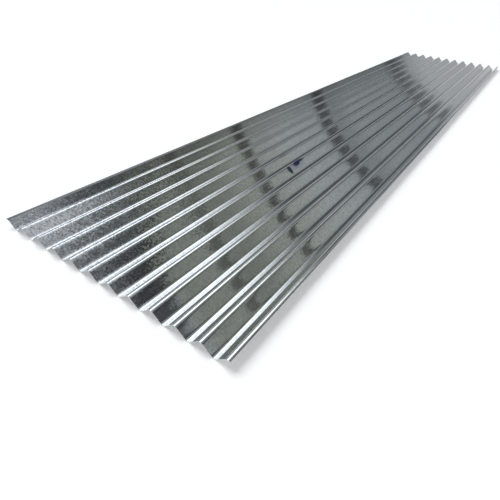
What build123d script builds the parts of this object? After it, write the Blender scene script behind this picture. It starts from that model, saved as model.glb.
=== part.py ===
from build123d import *
import math
import os

# Corrugated galvanised sheet, lying flat: X across the waves, Y along them, Z up.
# The origin is on the underside of the middle valley, half-way along the sheet.

length = 3657.6  # along the waves, cut square at both ends
wave_pitch = 67.7  # from one crest to the next
wave_depth = 22.2  # overall height, metal included
wave_count = 11  # whole waves, so both long edges end on a crest
sheet_thickness = 0.85
inside_radius = 11.1  # inner bend radius, the same in crests and valleys
edge_lip = 5.0  # metal that each long edge carries past its crest

# The underside is drawn first: it runs inside each crest and outside each valley.
crest_radius = inside_radius
valley_radius = inside_radius + sheet_thickness
crest_under_height = wave_depth - sheet_thickness
crest_centre_height = crest_under_height - crest_radius
valley_centre_height = valley_radius

# A flank is the straight run that touches a crest's arc and the next valley's arc.
half_pitch = wave_pitch / 2
centre_rise = crest_centre_height - valley_centre_height
radii_sum = crest_radius + valley_radius
flank_length = math.sqrt(half_pitch**2 + centre_rise**2 - radii_sum**2)
flank_angle = math.degrees(math.atan2(centre_rise, half_pitch) + math.atan2(radii_sum, flank_length))

# Each long edge rounds over the outer crest by its lip.
lip_angle = math.degrees(edge_lip / crest_radius)
first_crest = -wave_count * half_pitch
lip_start = (
    first_crest - crest_radius * math.sin(math.radians(lip_angle)),
    crest_centre_height + crest_radius * math.cos(math.radians(lip_angle)),
)
lip_heading = (math.cos(math.radians(lip_angle)), math.sin(math.radians(lip_angle)))

with BuildPart() as corrugated_sheet:
    with BuildSketch(Plane.XZ) as section:
        with BuildLine() as underside:
            crest = JernArc(lip_start, lip_heading, crest_radius, -(lip_angle + flank_angle))
            for wave in range(wave_count):
                falling_flank = PolarLine(crest @ 1, flank_length, direction=crest % 1)
                valley = JernArc(falling_flank @ 1, falling_flank % 1, valley_radius, 2 * flank_angle)
                rising_flank = PolarLine(valley @ 1, flank_length, direction=valley % 1)
                last_wave = wave == wave_count - 1
                crest_turn = flank_angle + (lip_angle if last_wave else flank_angle)
                crest = JernArc(rising_flank @ 1, rising_flank % 1, crest_radius, -crest_turn)
            offset(amount=sheet_thickness, side=Side.LEFT)
        make_face()
    extrude(amount=length / 2, both=True)

corrugated_sheet.part.label = "corrugated_sheet"

os.makedirs("parts", exist_ok=True)
export_step(corrugated_sheet.part, "parts/corrugated_sheet.step")
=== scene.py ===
import bpy
from math import atan2, cos, pi, radians, sin, sqrt
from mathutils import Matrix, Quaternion, Vector


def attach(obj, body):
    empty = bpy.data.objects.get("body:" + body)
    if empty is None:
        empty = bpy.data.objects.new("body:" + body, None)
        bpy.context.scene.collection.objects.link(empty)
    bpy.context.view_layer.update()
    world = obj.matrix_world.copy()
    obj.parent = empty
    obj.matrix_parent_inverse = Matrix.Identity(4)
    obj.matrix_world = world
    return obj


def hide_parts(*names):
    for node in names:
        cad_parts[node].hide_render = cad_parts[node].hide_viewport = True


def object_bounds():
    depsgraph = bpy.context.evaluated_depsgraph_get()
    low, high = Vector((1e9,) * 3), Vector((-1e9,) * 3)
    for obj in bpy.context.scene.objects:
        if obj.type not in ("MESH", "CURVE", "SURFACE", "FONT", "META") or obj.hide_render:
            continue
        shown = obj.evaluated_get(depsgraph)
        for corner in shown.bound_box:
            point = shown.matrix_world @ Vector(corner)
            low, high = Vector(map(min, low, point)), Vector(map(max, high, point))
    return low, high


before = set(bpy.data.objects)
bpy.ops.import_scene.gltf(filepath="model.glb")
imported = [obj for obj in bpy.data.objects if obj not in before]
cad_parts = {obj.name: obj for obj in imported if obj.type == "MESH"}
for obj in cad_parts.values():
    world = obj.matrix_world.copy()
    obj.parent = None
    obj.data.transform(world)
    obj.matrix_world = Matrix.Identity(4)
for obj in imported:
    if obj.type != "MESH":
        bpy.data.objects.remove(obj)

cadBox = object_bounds()
mmPerMetre = 1000


def toLinear(hexColour, alpha=1.0):
    channels = [int(hexColour[i:i + 2], 16) / 255 for i in (1, 3, 5)]
    return [c / 12.92 if c <= 0.04045 else ((c + 0.055) / 1.055) ** 2.4 for c in channels] + [alpha]


# a Mix takes its share at 0, then numbers at 2 and 3 or colours at 6 and 7, and gives a colour at output 2
def addNode(tree, kind, values=None, links=None, **settings):
    node = tree.nodes.new(kind)
    for name, setting in settings.items():
        setattr(node, name, setting)
    for socket, value in (values or {}).items():
        node.inputs[socket].default_value = value
    for socket, source in (links or {}).items():
        tree.links.new(source, node.inputs[socket])
    return node


def newMaterial(name):
    material = bpy.data.materials.new(name)
    material.use_nodes = True
    material.node_tree.nodes.clear()
    return material


# camera, placed as for the photograph: close to the near right corner, looking down the sheet
viewSpec = {
    "location": (0.6271, -2.1791, 0.607),
    "target": (0.1959, -1.5042, 0.0),
    "rollDeg": 3.955,  # the picture is turned a little
    "lensMm": 27.4,
    "sensorMm": 36.0,
}
eye = Vector(viewSpec["location"])
cameraData = bpy.data.cameras.new("photoCamera")
cameraData.lens = viewSpec["lensMm"]
cameraData.sensor_width = viewSpec["sensorMm"]
camera = bpy.data.objects.new("photoCamera", cameraData)
camera.location = eye
camera.rotation_mode = "QUATERNION"
aim = (Vector(viewSpec["target"]) - eye).to_track_quat("-Z", "Y")
camera.rotation_quaternion = aim @ Quaternion((0, 0, 1), radians(viewSpec["rollDeg"]))
bpy.context.scene.collection.objects.link(camera)
bpy.context.scene.camera = camera
print("camera placed")


# studio floor: a roll of white paper
floorSpec = {"size": 60.0, "drop": 0.0004, "colour": "#fafafa", "roughness": 0.9, "glow": 0.19}
paper = newMaterial("whitePaper")  # uncoated studio paper: flat and white, keeps a soft shadow
tree = paper.node_tree
rays = addNode(tree, "ShaderNodeLightPath")
seen = addNode(tree, "ShaderNodeMath", operation="MAXIMUM",
               links={0: rays.outputs["Is Camera Ray"], 1: rays.outputs["Is Glossy Ray"]})
seen = addNode(tree, "ShaderNodeMath", operation="MAXIMUM",
               links={0: seen.outputs[0], 1: rays.outputs["Is Transmission Ray"]})
glow = addNode(tree, "ShaderNodeMath", {1: floorSpec["glow"]}, {0: seen.outputs[0]}, operation="MULTIPLY")
sheetOfPaper = addNode(tree, "ShaderNodeBsdfPrincipled",
                       {"Base Color": toLinear(floorSpec["colour"]), "Roughness": floorSpec["roughness"],
                        "Emission Color": (1, 1, 1, 1)}, {"Emission Strength": glow.outputs[0]})
addNode(tree, "ShaderNodeOutputMaterial", links={"Surface": sheetOfPaper.outputs[0]})

bpy.ops.object.select_all(action="DESELECT")
bpy.ops.mesh.primitive_plane_add(size=floorSpec["size"], location=(0, 0, -floorSpec["drop"]))
floor = bpy.context.active_object
floor.name = "paperFloor"
floor.data.materials.append(paper)

# key light from the left, as soft as a large diffuser
keySpec = {"place": (-3.2, 0.6, 3.0), "strength": 2.1, "spreadDeg": 40.0}
keyLight = bpy.data.lights.new("keyLight", "SUN")
keyLight.energy = keySpec["strength"]
keyLight.angle = radians(keySpec["spreadDeg"])
key = bpy.data.objects.new("keyLight", keyLight)
key.location = keySpec["place"]
key.rotation_euler = (-Vector(keySpec["place"])).to_track_quat("-Z", "Y").to_euler()
key.visible_glossy = False  # the metal mirrors the room, not the lamp
bpy.context.scene.collection.objects.link(key)

# the room that the metal mirrors, laid out in degrees: turn is away from the sheet's length, tilt is from
# straight up to the side, left being minus, and height is above the floor. Dark beams cross a grey roof, a
# skylight runs along it on the left, and below that stands a dark wall. Behind the camera and round the foot
# it is plain and pale. A pair of degrees is a soft edge: where something begins, and where it is full
roomSpec = {
    "roof": ((10, "#a8aaac"), (15, "#aeb0b2"), (19, "#898f92"), (34, "#a2a7a6"), (44, "#92968f"),
             (52, "#8b8f89"), (59, "#848881"), (64, "#9a9ea3"), (69, "#f8fbff"), (80, "#95989a")),
    "beams": (  # a beam runs straight up to a tilt, and slants from there on
        {"turn": 18.1, "slant": -0.06, "slantFrom": 20.0, "half": 0.9, "soft": 0.5, "dark": 0.62},
        {"turn": 26.8, "slant": -0.02, "slantFrom": 31.0, "half": 1.3, "soft": 1.3, "dark": 0.22},
        {"turn": 28.35, "slant": -0.02, "slantFrom": 31.0, "half": 0.75, "soft": 0.15, "dark": 0.74},
        {"turn": 40.3, "slant": 0.07, "slantFrom": 34.0, "half": 0.8, "soft": 0.2, "dark": 0.74},
        {"turn": 47.6, "slant": 0.12, "slantFrom": 34.0, "half": 3.0, "soft": 3.0, "dark": 0.27},
        {"turn": 50.9, "slant": 0.12, "slantFrom": 34.0, "half": 1.0, "soft": 0.3, "dark": 0.52},
        {"turn": 56.0, "slant": 0.45, "slantFrom": 20.0, "half": 1.3, "soft": 0.7, "dark": 0.45}),
    "beamTilt": ((4.0, 16.0), (64.0, 56.0)),  # a beam ends short of the skylight and the floor
    "panel": {"turn": 68.0, "slant": 0.20, "slantFrom": 31.0, "half": 9.3, "soft": 1.0, "dark": 0.77,
              "tilt": ((22.0, 30.0), (53.0, 45.0))},
    "skylight": {"tone": "#f6fbff", "level": 1.9,
                 "tilt": ((-12.0, -22.0), (-58.0, -50.0)), "turn": ((38.0, 56.0), (81.0, 71.0))},
    "edging": {"dark": 0.45, "tilt": ((8.0, 18.0), (28.0, 18.0)), "turn": ((13.0, 22.0),)},  # of the skylight
    "wall": {"tone": "#5e6165", "tilt": ((-8.0, -26.0),), "turn": ((12.0, 19.0),)},
    "loft": {"tone": "#95989a", "height": ((10.0, 40.0),)},  # behind, grey overhead
    "foot": {"tone": "#ffffff", "height": ((8.0, 0.0),)},  # the backdrop runs into the white of the floor
    "backdrop": {"tone": "#d2d4d5", "height": ((9.0, 3.0),), "rightTilt": ((50.0, 76.0),),
                 "sideHeight": ((16.0, 9.0),), "sideTurn": ((22.0, 36.0),)},  # it stands higher at the sides
    "ahead": (-0.1, 0.1),  # from behind the camera to past the far end, as a share of straight along
}
world = bpy.data.worlds.new("studioRoom")
bpy.context.scene.world = world
world.use_nodes = True
tree = world.node_tree
tree.nodes.clear()
direction = addNode(tree, "ShaderNodeTexCoord")
axes = addNode(tree, "ShaderNodeSeparateXYZ", links={0: direction.outputs["Generated"]})
along = addNode(tree, "ShaderNodeMath", links={0: axes.outputs["Y"]}, operation="ABSOLUTE")
turn = addNode(tree, "ShaderNodeMath", links={0: along.outputs[0]}, operation="ARCCOSINE")
tilt = addNode(tree, "ShaderNodeMath", links={0: axes.outputs["X"], 1: axes.outputs["Z"]},
               operation="ARCTAN2")
height = addNode(tree, "ShaderNodeMath", links={0: axes.outputs["Z"]}, operation="ARCSINE")
share = addNode(tree, "ShaderNodeMapRange", {2: pi / 2}, {0: turn.outputs[0]})
roof = addNode(tree, "ShaderNodeValToRGB", links={0: share.outputs[0]})
stops = roof.color_ramp.elements
while len(stops) < len(roomSpec["roof"]):
    stops.new(0.5)
for stop, (turnDeg, tone) in zip(stops, roomSpec["roof"]):
    stop.position = turnDeg / 90
    stop.color = toLinear(tone)


# the part of the room that lies inside all the soft edges given for each angle
def zone(*limits):
    inside = None
    for angle, edges in limits:
        for beginsDeg, fullDeg in edges:
            edge = addNode(tree, "ShaderNodeMapRange", {1: radians(beginsDeg), 2: radians(fullDeg)},
                           {0: angle.outputs[0]}, interpolation_type="SMOOTHSTEP")
            if inside:
                edge = addNode(tree, "ShaderNodeMath", links={0: inside.outputs[0], 1: edge.outputs[0]},
                               operation="MULTIPLY")
            inside = edge
    return inside


edging = roomSpec["edging"]
shaded = [(zone((tilt, edging["tilt"]), (turn, edging["turn"])), edging["dark"])]
for band in (*roomSpec["beams"], roomSpec["panel"]):
    start = radians(band["slantFrom"])
    past = addNode(tree, "ShaderNodeMath", {1: start}, {0: tilt.outputs[0]}, operation="MAXIMUM")
    shift = addNode(tree, "ShaderNodeMath", {1: -band["slant"], 2: band["slant"] * start},
                    {0: past.outputs[0]}, operation="MULTIPLY_ADD")
    slanted = addNode(tree, "ShaderNodeMath", links={0: turn.outputs[0], 1: shift.outputs[0]},
                      operation="ADD")
    low = band["turn"] - band["half"]
    high = band["turn"] + band["half"]
    sides = ((low - band["soft"], low + band["soft"]), (high + band["soft"], high - band["soft"]))
    ends = band.get("tilt", roomSpec["beamTilt"])
    shaded.append((zone((slanted, sides), (tilt, ends)), band["dark"]))
for inside, dark in shaded:
    shade = addNode(tree, "ShaderNodeMapRange", {3: 1.0, 4: 1 - dark}, {0: inside.outputs[0]})
    roof = addNode(tree, "ShaderNodeVectorMath", links={0: roof.outputs[0], "Scale": shade.outputs[0]},
                   operation="SCALE")

wall = roomSpec["wall"]
onWall = zone((tilt, wall["tilt"]), (turn, wall["turn"]))
room = addNode(tree, "ShaderNodeMix", {7: toLinear(wall["tone"])},
               {0: onWall.outputs[0], 6: roof.outputs[0]}, data_type="RGBA")
skylight = roomSpec["skylight"]
inSky = zone((tilt, skylight["tilt"]), (turn, skylight["turn"]))
skyColour = [channel * skylight["level"] for channel in toLinear(skylight["tone"])]
room = addNode(tree, "ShaderNodeMix", {7: skyColour}, {0: inSky.outputs[0], 6: room.outputs[2]},
               data_type="RGBA")

backdrop = roomSpec["backdrop"]
atFoot = zone((height, roomSpec["foot"]["height"]))
paperTone = addNode(tree, "ShaderNodeMix",
                    {6: toLinear(backdrop["tone"]), 7: toLinear(roomSpec["foot"]["tone"])},
                    {0: atFoot.outputs[0]}, data_type="RGBA")
inLoft = zone((height, roomSpec["loft"]["height"]))
plain = addNode(tree, "ShaderNodeMix", {7: toLinear(roomSpec["loft"]["tone"])},
                {0: inLoft.outputs[0], 6: paperTone.outputs[2]}, data_type="RGBA")
behind, beyond = roomSpec["ahead"]
ahead = addNode(tree, "ShaderNodeMapRange", {1: behind, 2: beyond}, {0: axes.outputs["Y"]})
room = addNode(tree, "ShaderNodeMix", data_type="RGBA",
               links={0: ahead.outputs[0], 6: plain.outputs[2], 7: room.outputs[2]})
onBackdrop = zone((height, backdrop["height"]))
for stretch in (zone((tilt, backdrop["rightTilt"])),
                zone((height, backdrop["sideHeight"]), (turn, backdrop["sideTurn"]))):
    onBackdrop = addNode(tree, "ShaderNodeMath", links={0: onBackdrop.outputs[0], 1: stretch.outputs[0]},
                         operation="MAXIMUM")
room = addNode(tree, "ShaderNodeMix", data_type="RGBA",
               links={0: onBackdrop.outputs[0], 6: room.outputs[2], 7: paperTone.outputs[2]})
surround = addNode(tree, "ShaderNodeBackground", links={0: room.outputs[2]})
addNode(tree, "ShaderNodeOutputWorld", links={0: surround.outputs[0]})
bpy.context.scene.view_settings.view_transform = "Standard"
print("studio lit")


# galvanised steel: hot-dipped zinc, almost a mirror, with a fine spangle that is frosted at one corner
zincSpec = {
    "bright": "#e6e7e7", "dull": "#cbcfd1", "frostDull": "#a2a9b2",
    "spangleMm": 3.8, "featherMm": 2.4,  # finer in the metal: drawn as coarse as the picture can show
    "featherShift": 0.003, "blur": 0.15,
    "roughBright": 0.03, "roughDull": 0.06, "frostRough": 0.10,
    "tilt": 0.005, "frostTilt": 0.11,
    "rollMarkMm": (3.0, 500.0), "rollMarkSpan": (0.45, 0.75), "rollMarkRough": 0.03,
    "dentMm": 45.0, "dentHeight": 0.00002,
    "noiseMiddle": (0.5, 0.5, 0.5),
}
frostSpec = {"middle": (-0.36, -1.83), "half": (0.52, 0.62), "solidTo": 0.25, "gone": 1.15}
zinc = newMaterial("galvanisedSteel")
tree = zinc.node_tree


# a soft oval on the sheet, solid in the middle and gone at its rim, which may be ragged
def softPatch(patch, spot, ragged=None):
    turned = (0, 0, radians(patch.get("turnDeg", 0.0)))
    oval = addNode(tree, "ShaderNodeMapping",
                   {1: (*patch["middle"], 0), 2: turned, 3: (*patch["half"], 1)},
                   {0: spot}, vector_type="TEXTURE")
    if ragged:
        bleed = addNode(tree, "ShaderNodeTexNoise", {"Scale": ragged["scale"], "Detail": 2.0},
                        {"Vector": oval.outputs[0]})
        bleed = addNode(tree, "ShaderNodeVectorMath", {1: zincSpec["noiseMiddle"]},
                        {0: bleed.outputs["Color"]}, operation="SUBTRACT")
        oval = addNode(tree, "ShaderNodeVectorMath", {1: [ragged["reach"]] * 3},
                       {0: bleed.outputs[0], 2: oval.outputs[0]}, operation="MULTIPLY_ADD")
    away = addNode(tree, "ShaderNodeVectorMath", links={0: oval.outputs[0]}, operation="LENGTH")
    return addNode(tree, "ShaderNodeMapRange",
                   {1: patch["gone"], 2: patch["solidTo"], 4: patch.get("share", 1.0)},
                   {0: away.outputs["Value"]}, interpolation_type="SMOOTHSTEP")


place = addNode(tree, "ShaderNodeTexCoord")
feather = addNode(tree, "ShaderNodeTexNoise",
                  {"Scale": mmPerMetre / zincSpec["featherMm"], "Detail": 2.0},
                  {"Vector": place.outputs["Object"]})
drift = addNode(tree, "ShaderNodeVectorMath", {1: zincSpec["noiseMiddle"]}, {0: feather.outputs["Color"]},
                operation="SUBTRACT")
drift = addNode(tree, "ShaderNodeVectorMath", {"Scale": zincSpec["featherShift"]}, {0: drift.outputs[0]},
                operation="SCALE")
grain = addNode(tree, "ShaderNodeVectorMath", links={0: place.outputs["Object"], 1: drift.outputs[0]},
                operation="ADD")
frost = softPatch(frostSpec, place.outputs["Object"])
spangle = addNode(tree, "ShaderNodeTexVoronoi",
                  {"Scale": mmPerMetre / zincSpec["spangleMm"], "Smoothness": zincSpec["blur"]},
                  {"Vector": grain.outputs[0]}, feature="SMOOTH_F1")
crystal = addNode(tree, "ShaderNodeSeparateColor", links={0: spangle.outputs["Color"]})
dull = addNode(tree, "ShaderNodeMix", {6: toLinear(zincSpec["dull"]), 7: toLinear(zincSpec["frostDull"])},
               {0: frost.outputs[0]}, data_type="RGBA")
colour = addNode(tree, "ShaderNodeMix", {7: toLinear(zincSpec["bright"])},
                 {0: crystal.outputs[0], 6: dull.outputs[2]}, data_type="RGBA")
rough = addNode(tree, "ShaderNodeMapRange", {3: zincSpec["roughBright"], 4: zincSpec["roughDull"]},
                {0: crystal.outputs[1]})
frostRough = addNode(tree, "ShaderNodeMath", {1: zincSpec["frostRough"]}, {0: frost.outputs[0]},
                     operation="MULTIPLY")
rough = addNode(tree, "ShaderNodeMath", links={0: rough.outputs[0], 1: frostRough.outputs[0]},
                operation="ADD")

# painted highlight: at the frosted corner two flanks are painted white, crystal by crystal, and made less
# metallic, standing in for the bright reflection along these rows
paintedHighlightSpec = {
    "white": "#f8fafd", "whiteSpan": (0.3, 1.7), "scatter": 0.70,
    "first": {"middle": (-0.2866, -1.83), "half": (0.028, 0.45), "solidTo": 0.1, "gone": 1.0, "share": 1.0},
    "next": {"middle": (-0.2189, -1.83), "half": (0.022, 0.22), "solidTo": 0.1, "gone": 1.0, "share": 0.72},
}
firstHighlight = softPatch(paintedHighlightSpec["first"], grain.outputs[0])
nextHighlight = softPatch(paintedHighlightSpec["next"], grain.outputs[0])
paintedHighlight = addNode(tree, "ShaderNodeMath", links={0: firstHighlight.outputs[0], 1: nextHighlight.outputs[0]},
                operation="MAXIMUM")
leastWhite, mostWhite = paintedHighlightSpec["whiteSpan"]
whiteness = addNode(tree, "ShaderNodeMapRange", {3: leastWhite, 4: mostWhite}, {0: crystal.outputs[0]})
whiteness = addNode(tree, "ShaderNodeMath", links={0: whiteness.outputs[0], 1: paintedHighlight.outputs[0]},
                    operation="MULTIPLY")
# painted highlight: the two flanks are mixed towards white
colour = addNode(tree, "ShaderNodeMix", {7: toLinear(paintedHighlightSpec["white"])},
                 {0: whiteness.outputs[0], 6: colour.outputs[2]}, data_type="RGBA")
highlightMatte = addNode(tree, "ShaderNodeMath", links={0: paintedHighlight.outputs[0], 1: crystal.outputs[2]},
                operation="MULTIPLY")
keptMetal = addNode(tree, "ShaderNodeMapRange", {3: 1.0, 4: 1 - paintedHighlightSpec["scatter"]},
                    {0: highlightMatte.outputs[0]})

# a cloud of darker grey on the first flank
greyCloudSpec = {"middle": (-0.356, -1.59), "half": (0.030, 0.19), "solidTo": 0.3, "gone": 1.1,
               "grey": "#7d8084", "share": 0.75}
cloud = softPatch(greyCloudSpec, grain.outputs[0])
colour = addNode(tree, "ShaderNodeMix", {7: toLinear(greyCloudSpec["grey"])},
                 {0: cloud.outputs[0], 6: colour.outputs[2]}, data_type="RGBA")

# painted shade along the left edge: the edge is painted a dark dull grey and made rougher
edgeShadeSpec = {"startsAt": -0.3650, "fullAt": -0.3680, "shadeGrey": "#7b7f82", "roughness": 0.38}
sideways = addNode(tree, "ShaderNodeSeparateXYZ", links={0: grain.outputs[0]})
paintedEdgeShade = addNode(tree, "ShaderNodeMapRange", {1: edgeShadeSpec["startsAt"], 2: edgeShadeSpec["fullAt"]},
                {0: sideways.outputs["X"]}, interpolation_type="SMOOTHSTEP")
# painted shade: the dark grey laid along the left edge
colour = addNode(tree, "ShaderNodeMix", {7: toLinear(edgeShadeSpec["shadeGrey"])},
                 {0: paintedEdgeShade.outputs[0], 6: colour.outputs[2]}, data_type="RGBA")
rough = addNode(tree, "ShaderNodeMix", {3: edgeShadeSpec["roughness"]},
                {0: paintedEdgeShade.outputs[0], 2: rough.outputs[0]})

# roll marks: faint lines drawn out along the sheet by the forming rolls
acrossMm, alongMm = zincSpec["rollMarkMm"]
drawnOut = (mmPerMetre / acrossMm, mmPerMetre / alongMm, mmPerMetre / acrossMm)
lengthwise = addNode(tree, "ShaderNodeMapping", {3: drawnOut}, {0: place.outputs["Object"]})
rollMarks = addNode(tree, "ShaderNodeTexNoise", {"Scale": 1.0, "Detail": 2.0},
                    {"Vector": lengthwise.outputs[0]})
faintest, strongest = zincSpec["rollMarkSpan"]
rollRough = addNode(tree, "ShaderNodeMapRange", {1: faintest, 2: strongest, 4: zincSpec["rollMarkRough"]},
                    {0: rollMarks.outputs["Fac"]})
rough = addNode(tree, "ShaderNodeMath", links={0: rough.outputs[0], 1: rollRough.outputs[0]},
                operation="ADD")

# shallow dents bend the reflections, and each crystal leans its own way
dents = addNode(tree, "ShaderNodeTexNoise", {"Scale": mmPerMetre / zincSpec["dentMm"], "Detail": 1.0},
                {"Vector": place.outputs["Object"]})
dented = addNode(tree, "ShaderNodeBump", {"Strength": 1.0, "Distance": zincSpec["dentHeight"]},
                 {"Height": dents.outputs["Fac"]})
lean = addNode(tree, "ShaderNodeVectorMath", {1: zincSpec["noiseMiddle"]}, {0: spangle.outputs["Color"]},
               operation="SUBTRACT")
leanBy = addNode(tree, "ShaderNodeMapRange", {3: zincSpec["tilt"], 4: zincSpec["frostTilt"]},
                 {0: frost.outputs[0]})
lean = addNode(tree, "ShaderNodeVectorMath", links={0: lean.outputs[0], "Scale": leanBy.outputs[0]},
               operation="SCALE")
facing = addNode(tree, "ShaderNodeVectorMath", links={0: dented.outputs[0], 1: lean.outputs[0]},
                 operation="ADD")
facing = addNode(tree, "ShaderNodeVectorMath", links={0: facing.outputs[0]}, operation="NORMALIZE")

# marker ink on one flank: a blot with a tail along the crest and a stroke across, in a faint smear,
# and a faint smudge on the flank beside it
inkSpec = {
    "navy": "#191a4a", "slate": "#2d394a", "smear": "#9c9cc4", "smearShare": 0.45,
    "roughness": 0.4, "bareShare": 0.25, "ragged": {"scale": 1.2, "reach": 1.3},
    "marks": {
        "blot": {"middle": (0.0380, -0.979), "half": (0.0105, 0.026), "turnDeg": 8.0,
                 "solidTo": 0.7, "gone": 1.15},
        "tail": {"middle": (0.0350, -0.960), "half": (0.0075, 0.040), "turnDeg": -3.0,
                 "solidTo": 0.6, "gone": 1.15},
        "stroke": {"middle": (0.0450, -1.039), "half": (0.0155, 0.0100), "turnDeg": 10.0,
                   "solidTo": 0.8, "gone": 1.1},
        "stain": {"middle": (0.0450, -1.000), "half": (0.0140, 0.070), "solidTo": 0.3, "gone": 1.3},
        "smudge": {"middle": (-0.0345, -0.960), "half": (0.0090, 0.032), "solidTo": 0.3, "gone": 1.3},
    },
}
surface = addNode(tree, "ShaderNodeNewGeometry")
upward = addNode(tree, "ShaderNodeSeparateXYZ", links={0: surface.outputs["Normal"]})
topSide = addNode(tree, "ShaderNodeMath", {1: 0.0}, {0: upward.outputs["Z"]}, operation="GREATER_THAN")
masks = {}
for name, mark in inkSpec["marks"].items():
    mask = softPatch(mark, grain.outputs[0], inkSpec["ragged"])
    masks[name] = addNode(tree, "ShaderNodeMath", links={0: mask.outputs[0], 1: topSide.outputs[0]},
                          operation="MULTIPLY")
stain = addNode(tree, "ShaderNodeMath", links={0: masks["stain"].outputs[0], 1: masks["smudge"].outputs[0]},
                operation="MAXIMUM")
stain = addNode(tree, "ShaderNodeMath", {1: inkSpec["smearShare"]}, {0: stain.outputs[0]},
                operation="MULTIPLY")
slate = addNode(tree, "ShaderNodeMath", links={0: masks["tail"].outputs[0], 1: masks["stroke"].outputs[0]},
                operation="MAXIMUM")
inked = addNode(tree, "ShaderNodeMath", links={0: masks["blot"].outputs[0], 1: slate.outputs[0]},
                operation="MAXIMUM")
for ink, mask in (("smear", stain), ("slate", slate), ("navy", masks["blot"])):
    colour = addNode(tree, "ShaderNodeMix", {7: toLinear(inkSpec[ink])},
                     {0: mask.outputs[0], 6: colour.outputs[2]}, data_type="RGBA")
bare = addNode(tree, "ShaderNodeMapRange", {3: 1.0, 4: inkSpec["bareShare"]}, {0: inked.outputs[0]})
bare = addNode(tree, "ShaderNodeMath", links={0: bare.outputs[0], 1: keptMetal.outputs[0]},
               operation="MULTIPLY")
rough = addNode(tree, "ShaderNodeMix", {3: inkSpec["roughness"]},
                {0: inked.outputs[0], 2: rough.outputs[0]})
metal = addNode(tree, "ShaderNodeBsdfPrincipled",
                links={"Base Color": colour.outputs[2], "Metallic": bare.outputs[0],
                       "Roughness": rough.outputs[0], "Normal": facing.outputs[0]})
addNode(tree, "ShaderNodeOutputMaterial", links={"Surface": metal.outputs[0]})
print("zinc mixed")


# the sheet: one wave drawn as a line of arcs and straight flanks, repeated, drawn out along its length,
# swayed a little as rolled metal is, then given its thickness
sheetSpec = {
    "pitch": 0.0677, "waves": 11, "metal": 0.00085, "insideRadius": 0.0111, "edgeLip": 0.005,
    "arcSteps": 8, "flankSteps": 3, "lengthSteps": 100,
    "sway": {"size": 0.12, "stretch": 8.0, "height": 0.0008, "direction": "Z", "level": 0.0},
    "dents": {"size": 0.10, "stretch": 1.0, "height": 0.0003, "direction": "NORMAL", "level": 0.5},
    "mergeGap": 0.00001, "smoothDeg": 35.0,
}
boxLow, boxHigh = Vector(cadBox[0]), Vector(cadBox[1])
waveDepth = boxHigh.z - boxLow.z
bendRadius = sheetSpec["insideRadius"] + sheetSpec["metal"] / 2
halfPitch = sheetSpec["pitch"] / 2
midDepth = waveDepth - sheetSpec["metal"]
lift = sheetSpec["metal"] / 2  # the middle of the metal in a valley, above the floor
flankLength = sqrt(halfPitch ** 2 + midDepth ** 2 - 4 * midDepth * bendRadius)
flankAngle = atan2(midDepth - 2 * bendRadius, halfPitch) + atan2(2 * bendRadius, flankLength)
firstCrest = -sheetSpec["waves"] * halfPitch
nearEnd, farEnd = boxLow.y, boxHigh.y
crestHeight = lift + midDepth

bpy.ops.object.select_all(action="DESELECT")
bpy.ops.mesh.primitive_plane_add(size=halfPitch, location=(0, 0, 0))
sheet = bpy.context.active_object
sheet.name = "galvanisedSheet"
bpy.ops.object.mode_set(mode="EDIT")
bpy.ops.mesh.merge(type="CENTER")  # one point left, to be put on the first crest
bpy.ops.transform.translate(value=(firstCrest, nearEnd, crestHeight))
crestCentre = Vector((firstCrest, nearEnd, crestHeight - bendRadius))
valleyCentre = Vector((firstCrest + halfPitch, nearEnd, lift + bendRadius))
pitchStep = Vector((sheetSpec["pitch"], 0, 0))
flank = Vector((cos(flankAngle), 0, -sin(flankAngle))) * flankLength
flankSteps = [1 / sheetSpec["flankSteps"]] * sheetSpec["flankSteps"]
bpy.ops.mesh.spin(steps=sheetSpec["arcSteps"], angle=-flankAngle, axis=(0, 1, 0), center=crestCentre)
for step in flankSteps:
    bpy.ops.mesh.extrude_region_move(TRANSFORM_OT_translate={"value": (flank.x * step, 0, flank.z * step)})
bpy.ops.mesh.spin(steps=2 * sheetSpec["arcSteps"], angle=2 * flankAngle, axis=(0, 1, 0), center=valleyCentre)
for step in flankSteps:
    bpy.ops.mesh.extrude_region_move(TRANSFORM_OT_translate={"value": (flank.x * step, 0, -flank.z * step)})
bpy.ops.mesh.spin(steps=sheetSpec["arcSteps"], angle=-flankAngle, axis=(0, 1, 0),
                  center=crestCentre + pitchStep)
bpy.ops.object.mode_set(mode="OBJECT")
print("one wave drawn, points:", len(sheet.data.vertices))


def repeatSheet(name, count, step):
    array = sheet.modifiers.new(name, "ARRAY")
    array.count = count
    array.use_relative_offset = False
    array.use_constant_offset = True
    array.constant_offset_displace = step
    array.use_merge_vertices = True
    array.merge_threshold = sheetSpec["mergeGap"]
    bpy.ops.object.modifier_apply(modifier=array.name)


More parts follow.
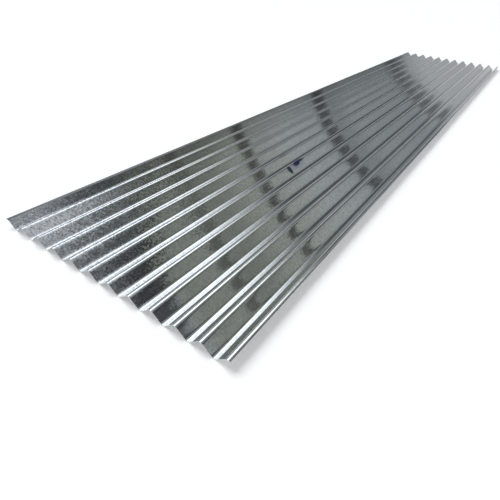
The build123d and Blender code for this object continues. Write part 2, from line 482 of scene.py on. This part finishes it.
repeatSheet("waves", sheetSpec["waves"], pitchStep)
lipAngle = sheetSpec["edgeLip"] / sheetSpec["insideRadius"]
for side in (1, -1):  # the left edge first, then the right
    bpy.ops.object.mode_set(mode="EDIT")
    bpy.ops.mesh.select_mode(type="VERT")
    bpy.ops.mesh.select_all(action="DESELECT")
    bpy.ops.object.mode_set(mode="OBJECT")
    outer = min(sheet.data.vertices, key=lambda point: side * point.co.x)
    outer.select = True
    bpy.ops.object.mode_set(mode="EDIT")
    bpy.ops.mesh.spin(steps=sheetSpec["arcSteps"] // 2, angle=side * lipAngle, axis=(0, 1, 0),
                      center=(side * firstCrest, nearEnd, crestHeight - bendRadius))
bpy.ops.mesh.select_all(action="SELECT")
lengthStep = Vector((0, (farEnd - nearEnd) / sheetSpec["lengthSteps"], 0))
bpy.ops.mesh.extrude_region_move(TRANSFORM_OT_translate={"value": lengthStep})
bpy.ops.object.mode_set(mode="OBJECT")
repeatSheet("length", sheetSpec["lengthSteps"], lengthStep)
bpy.ops.object.mode_set(mode="EDIT")
bpy.ops.mesh.select_all(action="SELECT")
bpy.ops.mesh.remove_doubles(threshold=sheetSpec["mergeGap"])
bpy.ops.mesh.normals_make_consistent(inside=False)
bpy.ops.object.mode_set(mode="OBJECT")

for name in ("sway", "dents"):
    unevenness = sheetSpec[name]
    lumps = bpy.data.textures.new(name, "CLOUDS")
    lumps.noise_scale = unevenness["size"]
    guide = bpy.data.objects.new(name + "Guide", None)  # stretches the lumps along the sheet
    guide.scale = (1, unevenness["stretch"], 1)
    bpy.context.scene.collection.objects.link(guide)
    push = sheet.modifiers.new(name, "DISPLACE")
    push.texture = lumps
    push.texture_coords = "OBJECT"
    push.texture_coords_object = guide
    push.direction = unevenness["direction"]
    push.strength = unevenness["height"]
    push.mid_level = unevenness["level"]
    bpy.context.view_layer.update()
    bpy.ops.object.modifier_apply(modifier=push.name)
    bpy.data.objects.remove(guide)

skin = sheet.modifiers.new("metal", "SOLIDIFY")
skin.thickness = sheetSpec["metal"]
skin.offset = 0
bpy.ops.object.modifier_apply(modifier=skin.name)
bpy.ops.object.shade_smooth_by_angle(angle=radians(sheetSpec["smoothDeg"]))
sheet.data.materials.append(zinc)
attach(sheet, "root")
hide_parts("corrugated_sheet")
print("sheet made, faces:", len(sheet.data.polygons))
